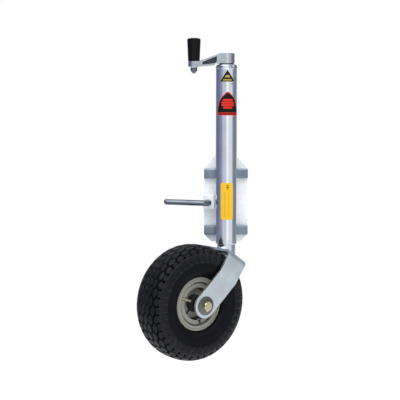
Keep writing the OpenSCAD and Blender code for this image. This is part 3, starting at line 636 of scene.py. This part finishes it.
def fork():
    """A flat bar bent over the wheel, with its legs bent back at the knee and rounded at the axle."""
    knee = AXLE_POINT + UP * KNEE_HEIGHT + ACROSS * CROWN_SHIFT
    low = (knee - AXLE_POINT).normalized()
    low_across = Vector((low.z, 0, -low.x))
    mitre = (ACROSS + low_across) / (1 + ACROSS.dot(low_across))
    columns = 24
    joggle, fold = 0.4, 8

    def column(q, outward):
        """Points of one long line of the bar, from the far axle end over the crown to the near one."""
        fold_point = knee + mitre * q
        end = AXLE_POINT + low_across * q - low * math.sqrt(max(0, BAR_HALF ** 2 - q * q))
        side = LEG_IN + outward
        bend = BEND_R - BAR_THICK + outward
        top = CROWN_HEIGHT - BAR_THICK + outward
        leg = [(end, side)]
        leg += [(end.lerp(fold_point, k / 8), side) for k in range(1, 8)]
        leg.append((fold_point - low * fold, side))
        leg.append((fold_point, side + joggle / 2))
        leg.append((fold_point + UP * fold, side + joggle))
        base = AXLE_POINT + ACROSS * (CROWN_SHIFT + q)
        straight_top = base + UP * (top - bend)
        leg += [((fold_point + UP * fold).lerp(straight_top, k / 4), side + joggle) for k in range(1, 5)]
        for k in range(1, 9):
            a = math.radians(90 * k / 8)
            height = top - bend + bend * math.sin(a)
            leg.append((base + UP * height, side + joggle - bend * (1 - math.cos(a))))
        near = [Vector((p.x, y, p.z)) for p, y in leg]
        crown = [Vector((near[-1].x, near[-1].y * (1 - k / 5), near[-1].z)) for k in range(1, 10)]
        far = [Vector((p.x, -p.y, p.z)) for p in reversed(near)]
        return near + crown + far

    turns = [math.radians(-90 + 180 * k / columns) for k in range(columns + 1)]
    offsets = [BAR_HALF * math.sin(a) for a in turns]
    outer = [column(q, BAR_THICK) for q in offsets]
    inner = [column(q, 0) for q in reversed(offsets)]
    loops = outer + inner
    length = len(outer[0])
    points = [p for line in loops for p in line]
    faces = grid_faces(len(loops), length, True, False)
    for end in (0, length - 1):
        for k in range(columns):
            corners = (k, k + 1, 2 * columns - k, 2 * columns + 1 - k)
            faces.append(tuple(line * length + end for line in corners))
    bar = object_of("fork_bar", points, faces, CASTOR, 25)
    bevelled(bar, 1.1, 3, 50)
    lip_at = CASTOR @ frame_at(crown_point(-28, 0, 5), ACROSS, Vector((0, 1, 0)), UP)
    lip = lathe("fork_lip", rounded([(1, 0), (27, 0), (27, 4), (1, 4)], 0.8), lip_at, segments=96)
    declare(joined("fork_piece", bar, lip), "fork", "zinc_fork")


def foot_weld():
    """The bead that joins the inner tube to the fork's crown."""
    radius = (box_mm("inner_tube")[1].x - box_mm("inner_tube")[0].x) / 2 + 0.4
    foot = crown_point(0, 0, 0)
    path = []
    for k in range(180):
        a = 2 * math.pi * k / 180
        x, y = radius * math.cos(a), radius * math.sin(a)
        path.append((x, y, foot.z + (x - foot.x) * math.tan(LEG_LEAN) + 0.6))
    weld = sweep("foot_weld", path, ripple(2.6, 3.0), CASTOR, sides=14, closed=True)
    declare(weld, "fork", "zinc_weld", [])


# ---------- axle ----------

def axle():
    """Dished washers, then the bolt's head at the near side and the lock nut at the far one."""
    out = LEG_OUT
    turned = Matrix.Rotation(math.pi, 4, "X")
    for side in (0, 1):
        face = AXLE @ (turned if side else Matrix.Identity(4)) @ Matrix.Translation((0, 0, out))
        dished = [(6.2, 0.3), (20.2, 0), (21, 0.5), (20.6, 1.5), (12, 3), (6.2, 3)]
        washer = lathe(f"axle_washer_{side}", rounded(dished, 0.5, 3), face, segments=96)
        declare(washer, "axle_washers", "washer_grey", ["axle_washers"] if side else [])
        seat = face @ Matrix.Translation((0, 0, 3)) @ Matrix.Rotation(math.radians(15), 4, "Z")
        if side == 0:
            outline = rounded([(1, 0), (9.2, 0), (9.2, 0.6), (1, 0.6)], 0.2, 2)
            flange = lathe("axle_flange", outline, seat, segments=64)
            head = hex_prism("axle_head", 19, 6.9, seat @ Matrix.Translation((0, 0, 0.6)))
            outline = [(1, -2 * out - 3), (6, -2 * out - 3), (6, 0), (1, 0)]
            shank = lathe("axle_shank", outline, seat, segments=48)
            far_face = AXLE @ turned @ Matrix.Translation((0, 0, out))
            thread = threaded_rod("axle_thread", 6, 3, 18, 1.75, far_face)
            declare(joined("axle_bolt_piece", flange, head, shank, thread), "axle_bolt")
        else:
            nut = hex_prism("axle_nut_body", 19, 8.4, seat)
            outline = rounded([(6.1, 8), (8.6, 8), (8.4, 11.4), (7.6, 12), (6.1, 12)], 0.4, 3)
            crown = lathe("axle_nut_crown", outline, seat, segments=64)
            declare(joined("axle_nut_piece", nut, crown), "axle_nut")


# ---------- wheel ----------

def superellipse(angle, centre, half_height, half_width, power):
    """A (radius, width) point of a squared oval, centred on a radius."""
    c, s = math.cos(angle), math.sin(angle)
    radial = math.copysign(abs(c) ** (2 / power), c)
    across = math.copysign(abs(s) ** (2 / power), s)
    return centre + half_height * radial, half_width * across


def smooth(x, low, high):
    """0 below low, 1 above high, with a smooth run between."""
    t = min(1, max(0, (x - low) / (high - low)))
    return t * t * (3 - 2 * t)


# The tread: rows of blocks round the tyre, a block's width, how far its ends are drawn to points, the
# depth of the grooves between the blocks and at the shoulders, and how far from the centre line the
# blocks and the tread go, measured over the surface
ROWS = 40
BLOCK_ACROSS = 15.5
ZIGZAG = 5.5
GROOVE = 4.4
SHOULDER_GROOVE = GROOVE + 1.8
BLOCKS_END = 39.5
TREAD_END = 44
# The sidewall: where its ribs end and its thin ring is, measured in the same way, half the ring's width,
# and how far the smooth part lies under the tyre's full section
RIBS_END = 66
RING_AT = 71
RING_HALF = 0.9
SIDE_RELIEF = 2.7
# The tyre's material slots; the groove floors carry painted shade and the thin side ring a painted
# highlight
RUBBER, SHADED_GROOVE_FLOOR, SMOOTH_SIDE, RING_HIGHLIGHT = 0, 1, 2, 3


def wave(x):
    """0 where x is whole, 1 halfway between."""
    return abs(x - round(x)) * 2


def tread_height(row, s):
    """How far the rubber stands over the groove floor, from 0 to 1, at a place s across the tread.

    row counts rows of blocks round the tyre.
    """
    pitch = 2 * math.pi * TYRE_R / ROWS
    nearest = 9
    for centre in (math.floor(row), math.floor(row) + 1):
        place = s / BLOCK_ACROSS + (0.5 if centre % 2 else 0)
        side = wave(place)
        tip = (abs(row - centre) * pitch + 2 * ZIGZAG * side) / (pitch / 2 + ZIGZAG)
        nearest = min(nearest, (side ** 8 + tip ** 8) ** (1 / 8))
    block = (1 - smooth(nearest, 0.74, 0.86)) * (1 - smooth(abs(s), BLOCKS_END - 1, BLOCKS_END + 1))
    lug = (1 - smooth(wave(row), 0.64, 0.88)) * smooth(abs(s), BLOCKS_END - 3, BLOCKS_END - 1)
    return max(block, lug)


def sidewall_height(row, reach):
    """The low relief on the side of the tyre, in millimetres over its smooth lower part."""
    rib = 1 - smooth(wave(row), 0.30, 0.75)
    rib *= smooth(reach, TREAD_END - 2, TREAD_END + 4) * (1 - smooth(reach, RIBS_END - 3, RIBS_END + 1))
    short_rib = 1 - smooth(wave(row + 0.5), 0.15, 0.45)
    short_rib *= smooth(reach, TREAD_END - 4, TREAD_END) * (1 - smooth(reach, 53, 56))
    ring = math.exp(-((reach - RING_AT) / 0.7) ** 2)
    step = 0.5 * (1 - smooth(reach, 67.5, 69))
    return 2.2 * rib + 1.6 * short_rib + step + 1.7 * ring


def tyre_slot(grooved, reach):
    """The material slot of a point, from how deep it is in a groove and how far from the centre line."""
    # Deep groove floors take painted shade
    if grooved > 0.55:
        return SHADED_GROOVE_FLOOR
    if reach < RIBS_END:
        return RUBBER
    # The thin ring takes a painted highlight; the rest of the smooth side takes plain side rubber
    return RING_HIGHLIGHT if abs(reach - RING_AT) < RING_HALF else SMOOTH_SIDE


def tyre():
    """The tyre's section turned round the axle, sunk from its full outline by the tread and side relief."""
    centre = (TYRE_R + SEAT_R) / 2
    half_height = (TYRE_R - SEAT_R) / 2
    flange_r = RIM_R + 0.4
    section = []
    steps = 220
    for k in range(steps + 1):
        a = math.radians(-150 + 300 * k / steps)
        r, w = superellipse(a, centre, half_height, TYRE_HALF, 2.8)
        if r > flange_r or abs(a) < 1.5:
            section.append((r, w))
    lengths = [0.0]
    for (r0, w0), (r1, w1) in zip(section, section[1:]):
        lengths.append(lengths[-1] + math.hypot(r1 - r0, w1 - w0))
    half = lengths[-1] / 2
    normals = []
    for k in range(len(section)):
        r0, w0 = section[max(0, k - 1)]
        r1, w1 = section[min(len(section) - 1, k + 1)]
        n = Vector((w1 - w0, r0 - r1)).normalized()
        normals.append(n)
    inner_angles = [math.radians(140 - 280 * k / 30) for k in range(31)]
    inner = [superellipse(a, centre - 2, half_height - 10.3, TYRE_HALF - 6.8, 2.4) for a in inner_angles]
    bead = [(flange_r, RIM_HALF - 5.3), (SEAT_R, RIM_HALF - 6), (SEAT_R, 18)]
    other_bead = [(r, -w) for r, w in reversed(bead)]
    steps_per_row = 24
    around = ROWS * steps_per_row
    points, slots = [], []
    for i in range(around):
        row = i / steps_per_row
        a = 2 * math.pi * i / around
        ring = []
        for (r, w), n, length in zip(section, normals, lengths):
            s = length - half
            reach = abs(s)
            on_tread = 1 - smooth(reach, TREAD_END - 4, TREAD_END + 4)
            height = tread_height(row, s) if reach < TREAD_END + 4 else 1
            floor = GROOVE + (SHOULDER_GROOVE - GROOVE) * smooth(reach, BLOCKS_END - 2, BLOCKS_END + 2)
            grooved = (1 - height) * on_tread
            sunk = floor * grooved + (SIDE_RELIEF - sidewall_height(row, reach)) * (1 - on_tread)
            slots.append(tyre_slot(grooved, reach))
            ring.append((r - n.x * sunk, w - n.y * sunk))
        ring += bead + inner + other_bead
        slots += [SMOOTH_SIDE] * (len(ring) - len(section))
        points += [(r * math.cos(a), r * math.sin(a), w) for r, w in ring]
    columns = len(section) + len(inner) + len(bead) * 2
    faces = grid_faces(around, columns, True, True)
    piece = declare(object_of("tyre_piece", points, faces, AXLE, 60), "tyre")
    # Extra slots: painted shade for the groove floors, plain side rubber, and a painted highlight for the
    # thin ring
    for name in ("tyre_groove_painted_shade", "tyre_side", "tyre_ring_painted_highlight"):
        piece.data.materials.append(MATERIALS[name])
    for polygon, face in zip(piece.data.polygons, faces):
        polygon.material_index = sorted(slots[v] for v in face)[1]


def wheel():
    """Both rim halves, with painted shade in their recesses, and the hub caps, screws and valve."""
    for half in ("rim_near_half", "rim_far_half"):
        rim = softened(half, 0.7, 3)
        # Faces inside the recess take painted shade
        rim.data.materials.append(MATERIALS["rim_recess_painted_shade"])
        for polygon in rim.data.polygons:
            place = polygon.center / MM - WHEEL
            out = place.dot(AXLE_DIR)
            reach = (place - AXLE_DIR * out).length
            if RECESS_IN < reach < RECESS_OUT and abs(out) < RECESS_TOP:
                polygon.material_index = 1
    softened("hub_caps", 1.0, 3)
    softened("rim_screws", 0.4, 2)
    softened("valve_stem", 0.3, 2, "valve_brass")
    softened("valve_cap", 0.5, 2, "valve_brass")


# ---------- top of the jack ----------

def crank():
    """The cast arm, with painted shade on the floors of its side pockets, and the dome nut under the grip.
    """
    arm = softened("crank_arm", 0.9, 3)
    # Faces on the floors of the side pockets take painted shade
    arm.data.materials.append(MATERIALS["arm_pocket_painted_shade"])
    pocket_half, boss_side = 10.8, -20
    for polygon in arm.data.polygons:
        place = polygon.center / MM
        faces_out = abs(polygon.normal.y) > 0.9
        if faces_out and abs(place.y - TUBE_Y) < pocket_half and place.x < boss_side:
            polygon.material_index = 1
    nut_lo, nut_hi = box_mm("grip_nut")
    x, y = middle("grip_nut").x, middle("grip_nut").y
    down = Matrix.Translation((x, y, nut_hi.z)) @ Matrix.Rotation(math.pi, 4, "X")
    nut = hex_prism("grip_nut_body", 13, 8, down)
    depth = nut_hi.z - nut_lo.z
    dome_r = 6.1
    outline = [(0, depth)] + [(dome_r * math.sin(a), depth - dome_r + dome_r * math.cos(a)) for a in arc(9)]
    outline += [(dome_r, 5), (0, 5)]
    dome = welded_ends(lathe("grip_nut_dome", outline, down, closed=False, segments=64))
    declare(joined("grip_nut_piece", nut, dome), "grip_nut", "zinc_rod")
    softened("grip_washer", 0.3, 2)


def grip():
    """The flared handle and the cap in its end."""
    lo, hi = box_mm("crank_grip")
    centre = middle("crank_grip")
    top_r = (hi.x - lo.x) / 2
    low_r = top_r - 2.3
    length = hi.z - lo.z
    side = [(low_r - 1.6, 0), (low_r - 0.4, 0.5), (low_r, 1.8)]
    side_r = top_r - 0.3
    parts = [k / 24 for k in range(1, 25)]
    side += [(low_r + (side_r - low_r) * part ** 1.15, 1.8 + (length - 6) * part) for part in parts]
    side += [(side_r - 4 * (1 - math.cos(a)), length - 4.2 + 3.4 * math.sin(a)) for a in arc(6)]
    bore = [(9.2, length - 0.2), (8.4, length), (7.9, length - 0.5), (7.9, length - 5)]
    bore += [(4.1, length - 15), (4.1, 0)]
    at = Matrix.Translation((centre.x, centre.y, lo.z))
    declare(lathe("crank_grip_piece", side + bore, at, segments=96), "crank_grip")
    cap_lo, cap_hi = box_mm("grip_cap")
    rise = cap_hi.z - cap_lo.z
    cap = [(0, 0), (7.6, 0), (7.6, rise - 0.8), (6.8, rise)]
    cap += [(3, rise - 0.1), (2.2, rise - 0.8), (0, rise - 0.9)]
    cap_at = Matrix.Translation((centre.x, centre.y, cap_lo.z))
    declare(welded_ends(lathe("grip_cap_piece", cap, cap_at, closed=False, segments=64)), "grip_cap")


def lock_pin():
    """The bent round pin: straight out of its housing, then a quarter bend into the handle."""
    lo, hi = box_mm("lock_pin")
    radius = 6.5
    pin_x = middle("plunger_collar").x
    bend = 14
    handle_y = lo.y + radius
    tilt = math.radians(2)
    path = [(0, y, 0) for y in (hi.y - 2.0, hi.y - 10, handle_y + bend + 1)]
    path += [(-bend + bend * math.cos(a), handle_y + bend - bend * math.sin(a), 0) for a in [0.0] + arc(12)]
    reach = pin_x - lo.x - radius
    path += [(-bend - (reach - bend) * k / 6, handle_y, 0) for k in range(1, 7)]
    at = Matrix.Translation((pin_x, 0, 0)) @ Matrix.Rotation(tilt, 4, "Y")
    size = lambda s: radius - 1.2 * (1 - smooth(s, 0, 1.4))
    pin = sweep("lock_pin_piece", path, size, at, sides=40, ends=False)
    tip = path[-1]
    cap_at = at @ Matrix.Translation(tip) @ Matrix.Rotation(math.radians(-90), 4, "Y")
    crown = 5.4
    ball = [(0, 0), (radius, 0)]
    ball += [(radius * math.cos(a), crown * math.sin(a)) for a in arc(10)[:-1]] + [(0, crown)]
    end = welded_ends(lathe("lock_pin_end", ball, cap_at, closed=False, segments=40))
    declare(joined("lock_pin_piece", pin, end), "lock_pin", "zinc_rod")


# ---------- labels ----------

def patch(name, rows, node, material, lift, shift=0.0, turn=0.0):
    """A thin film on the tube's front. rows are (height, left, right), measured round the tube."""
    across = 40
    points = []
    for depth in (lift - 0.05, lift):
        r = TUBE_R + depth
        for z, left, right in rows:
            for k in range(across + 1):
                a = (left + (right - left) * k / across + shift) / TUBE_R + math.radians(turn)
                points.append((r * math.sin(a), -r * math.cos(a), z))
    count = across + 1
    size = len(rows) * count
    faces = grid_faces(len(rows), count)
    faces += [tuple(size + v for v in reversed(f)) for f in grid_faces(len(rows), count)]
    rim = list(range(count)) + [i * count + across for i in range(1, len(rows))]
    rim += [(len(rows) - 1) * count + k for k in range(across - 1, -1, -1)]
    rim += [i * count for i in range(len(rows) - 2, 0, -1)]
    faces += [(rim[k], rim[k - 1], size + rim[k - 1], size + rim[k]) for k in range(len(rim))]
    return declare(object_of(name, points, faces, JACK), node, material, [])


def rounded_rows(low, high, half, corner, steps=6):
    """Rows of a box with rounded corners."""
    angles = [math.radians(90 * k / steps) for k in range(steps + 1)]
    lower = [(low + corner * (1 - math.cos(a)), half - corner * (1 - math.sin(a))) for a in angles]
    upper = [(high - corner * (1 - math.cos(a)), w) for a, (z, w) in zip(reversed(angles), reversed(lower))]
    return [(z, -w, w) for z, w in lower + upper]


def triangle_rows(low, high, half, tip=0.3, steps=12):
    """Rows of a triangle on its base, with a narrow tip."""
    widths = [half * (1 - k / steps) + tip for k in range(steps + 1)]
    return [(low + (high - low) * k / steps, -w, w) for k, w in enumerate(widths)]


def arched_rows(foot, outline):
    """Rows of a shape from its (height over the foot, half width) points, with the corners rounded."""
    return [(foot + z, -w, w) for z, w in rounded(outline, 12, 6, False)]


# How far the film and the inks on it stand over the tube
FILM, FIRST_INK, SECOND_INK, THIRD_INK = 0.1, 0.13, 0.15, 0.16


def labels():
    """Plain stand-ins for the printed labels: the same places and colours, with no lettering or marks."""
    lo, hi = box_mm("hazard_label")
    low, high, half = lo.z + 0.4, hi.z - 0.6, 16.6
    outer = triangle_rows(low, high, half)
    back = patch("hazard_label_back", outer, "hazard_label", "label_black", FILM, turn=4)
    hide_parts("hazard_label")
    slope = half / (high - low)
    bars = (("hazard_label_low", low + 2.2, low + 5.6), ("hazard_label_high", low + 9.0, low + 14.6))
    for name, z0, z1 in bars:
        rows = [(z, -slope * (high - z) + 4.2, slope * (high - z) - 4.2) for z in (z0, (z0 + z1) / 2, z1)]
        patch(name, rows, "hazard_label", "label_ochre", SECOND_INK, turn=4)

    lo, hi = box_mm("panel_label")
    outer = [(0, 25), (2, 26.4), (12, 26.4), (30, 21.5), (40, 15), (46, 9), (hi.z - lo.z, 3)]
    back = patch("panel_label_back", arched_rows(lo.z, outer), "panel_label", "label_red", FILM, turn=6)
    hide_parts("panel_label")
    inner = [(6.4, 25.0), (12, 25.0), (30, 20.2), (40, 13.6), (45.5, 7.4), (hi.z - lo.z - 2.2, 2)]
    patch("panel_label_field", arched_rows(lo.z, inner), "panel_label", "label_black", FIRST_INK, turn=6)
    foot = rounded_rows(lo.z + 1.3, lo.z + 5.0, 24.4, 0.8)
    patch("panel_label_foot", foot, "panel_label", "label_maroon", FIRST_INK, turn=6)
    for k, half in enumerate((10.5, 15, 15, 12)):
        z = lo.z + 15 + 5.6 * k
        bar = rounded_rows(z, z + 4.4, half, 2.1)
        patch(f"panel_label_bar_{k}", bar, "panel_label", "label_red", THIRD_INK, turn=6)

    lo, hi = box_mm("care_label")
    outer = rounded_rows(lo.z, hi.z, 14.6, 4)
    back = patch("care_label_back", outer, "care_label", "label_yellow", FILM, turn=2)
    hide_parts("care_label")
    for k, (drop, half) in enumerate(((4.5, 2.2), (8.5, 4.2), (12.5, 2.2))):
        mark = rounded_rows(hi.z - drop - 2, hi.z - drop, half, 0.9)
        patch(f"care_label_mark_{k}", mark, "care_label", "label_black", SECOND_INK, 1.5, 2)
    for column, shift in enumerate((-4.6, 4.4)):
        for line in range(9):
            z = hi.z - 24 - line * 6.2
            dash = rounded_rows(z - 2.4, z + 2.4, 0.35, 0.3, 3)
            patch(f"care_label_line_{column}_{line}", dash, "care_label", "label_ink", SECOND_INK, shift, 2)


# ---------- studio ----------

# Cards that stand round the object: bearing in degrees from the front towards +X, and brightness
CARDS = [
    (-180, (1.0, 1.0, 1.0)), (-152, (0.70, 0.72, 0.75)), (-138, (0.15, 0.17, 0.25)),
    (-95, (0.16, 0.18, 0.30)), (-66, (0.25, 0.27, 0.40)), (-50, (0.33, 0.36, 0.48)),
    (-38, (0.58, 0.62, 0.76)), (-6, (0.60, 0.65, 0.71)), (2, (1.05, 1.08, 1.12)),
    (14, (1.15, 1.17, 1.20)), (26, (0.82, 0.83, 0.88)), (44, (0.76, 0.78, 0.84)),
    (60, (0.86, 0.90, 0.98)), (70, (0.30, 0.34, 0.39)),
    (100, (0.18, 0.21, 0.25)), (122, (0.24, 0.27, 0.30)),
    (146, (0.62, 0.64, 0.68)), (180, (1.0, 1.0, 1.0)),
]


def calculated(tree, operation, a, b):
    node = tree.nodes.new("ShaderNodeMath")
    node.operation = operation
    for value, socket in ((a, node.inputs[0]), (b, node.inputs[1])):
        if isinstance(value, (int, float)):
            socket.default_value = value
        else:
            tree.links.new(value, socket)
    return node.outputs[0]


def between(tree, value, low, high):
    """0 below low, 1 above high."""
    node = tree.nodes.new("ShaderNodeMapRange")
    node.inputs["From Min"].default_value = low
    node.inputs["From Max"].default_value = high
    tree.links.new(value, node.inputs["Value"])
    return node.outputs["Result"]


def surroundings():
    """Plain white behind the object; for its reflections, cards, a bright ceiling and a pale floor."""
    world = bpy.data.worlds.new("studio")
    bpy.context.scene.world = world
    world.use_nodes = True
    tree = world.node_tree
    direction = tree.nodes.new("ShaderNodeSeparateXYZ")
    tree.links.new(tree.nodes.new("ShaderNodeTexCoord").outputs["Generated"], direction.inputs[0])
    x, y, z = direction.outputs
    bearing = calculated(tree, "ARCTAN2", x, calculated(tree, "MULTIPLY", y, -1.0))
    place = calculated(tree, "MULTIPLY_ADD", bearing, 0.5 / math.pi)
    place.node.inputs[2].default_value = 0.5
    ring = ramp(tree, place, [((b + 180) / 360, colour) for b, colour in CARDS])
    to_the_right = between(tree, bearing, math.radians(38), math.radians(60))
    raised = calculated(tree, "MULTIPLY", between(tree, z, 0.12, 0.24), to_the_right)
    ring = mix(tree, raised, ring, (0.20, 0.22, 0.25))
    ring = mix(tree, between(tree, z, 0.55, 0.8), ring, (0.92, 0.95, 1.0))
    downward = calculated(tree, "MULTIPLY", z, -1.0)
    ring = mix(tree, between(tree, downward, 0.13, 0.26), ring, (0.84, 0.87, 0.89))
    seen = tree.nodes.new("ShaderNodeLightPath").outputs["Is Camera Ray"]
    shown = mix(tree, seen, ring, (1.0, 1.0, 1.0))
    tree.links.new(shown, tree.nodes["Background"].inputs["Color"])


def studio():
    """The lights, and a pale floor where the wheel stands with the jack wound right down."""
    floor_z = WHEEL.z - TYRE_R - JOINTS["lift"]["range_m"][1] / MM - 1
    centre = (-0.06, -0.1, floor_z * MM)
    bpy.ops.mesh.primitive_circle_add(vertices=96, radius=1.0, fill_type="NGON", location=centre)
    floor = bpy.context.object
    floor.name = "floor"
    material, tree, bsdf = start_material("floor")
    source = tree.nodes.new("ShaderNodeTexCoord")
    radius = tree.nodes.new("ShaderNodeVectorMath")
    radius.operation = "LENGTH"
    tree.links.new(source.outputs["Object"], radius.inputs[0])
    faded = between(tree, radius.outputs["Value"], 0.25, 0.85)
    tone = ramp(tree, noise(tree, 3, 3), [(0.3, (0.88, 0.88, 0.88)), (0.7, (0.92, 0.92, 0.92))])
    tree.links.new(tone, bsdf.inputs["Base Color"])
    bsdf.inputs["Roughness"].default_value = 0.8
    bsdf.inputs["Emission Color"].default_value = (1, 1, 1, 1)
    bsdf.inputs["Emission Strength"].default_value = 0.55
    tree.links.new(calculated(tree, "SUBTRACT", 1.0, faded), bsdf.inputs["Alpha"])
    floor.data.materials.append(material)
    softbox("overhead", (-0.5, -0.9, 2.3), 2.4, 2.4, 26)
    softbox("side", (2.2, -0.3, 1.4), 0.8, 1.2, 9)
    softbox("front", (-0.2, -2.2, 1.4), 2.6, 1.3, 26)


def softbox(name, place, width, height, power):
    light = bpy.data.lights.new(name, "AREA")
    light.shape = "RECTANGLE"
    light.size = width
    light.size_y = height
    light.energy = power
    lamp = bpy.data.objects.new(name, light)
    bpy.context.scene.collection.objects.link(lamp)
    lamp.location = place
    lamp.rotation_euler = (Vector((-0.03, -0.08, 0)) - Vector(place)).to_track_quat("-Z", "Y").to_euler()


def camera():
    data = bpy.data.cameras.new("camera")
    data.lens = 81
    data.sensor_width = 36
    eye = bpy.data.objects.new("camera", data)
    bpy.context.scene.collection.objects.link(eye)
    eye.location = (-0.0594, -2.0976, 0.1758)
    eye.rotation_euler = (math.radians(90 - 4.764), 0, 0)
    bpy.context.scene.camera = eye
    bpy.context.scene.view_settings.view_transform = "Standard"


bracket()
bar_welds()
outer_tube()
top_housing()
inner_tube()
fork()
foot_weld()
axle()
tyre()
wheel()
crank()
grip()
lock_pin()
labels()
surroundings()
studio()
camera()

for tube_node in ("outer_tube", "inner_tube"):
    bpy.data.objects[tube_node + "_piece"].data.materials[0] = MATERIALS["zinc_tube"]
